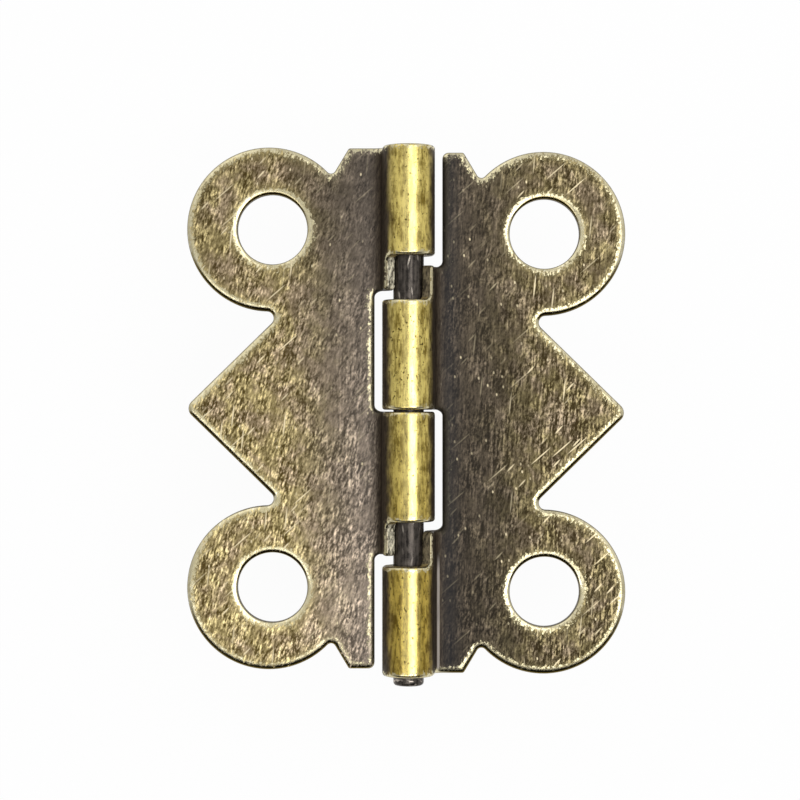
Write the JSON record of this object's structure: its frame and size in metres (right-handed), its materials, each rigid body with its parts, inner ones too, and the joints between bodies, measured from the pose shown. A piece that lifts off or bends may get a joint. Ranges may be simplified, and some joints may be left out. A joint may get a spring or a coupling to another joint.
{
  "type": "decorative butterfly hinge",
  "caption": "Small butterfly-shaped hinge of two stamped leaves, each with round ears, a pointed wing and rolled knuckles on a plain pin.",
  "frame": {"origin": "below the pin at mid length, in the plane of the leaves' flat backs", "axes": "+Z out of the front towards the viewer, +Y along the pin, +X towards the right leaf's wing, with the hinge open flat"},
  "size_m": [0.0251, 0.0307, 0.003],
  "materials": {
    "antique_bronze": "antique bronze plating with worn edges",
    "dark_steel": "dull oxidised wire"
  },
  "bodies": {
    "left_leaf": {"left_leaf": "antique_bronze", "hinge_pin": "dark_steel"},
    "right_leaf": {"right_leaf": "antique_bronze"}
  },
  "joints": [
    {"name": "leaf_fold", "type": "hinge", "parent": "left_leaf", "child": "right_leaf", "pos_m": [0, 0, 0.0015], "axis": [0, -1, 0], "range_deg": [-90, 120]}
  ]
}
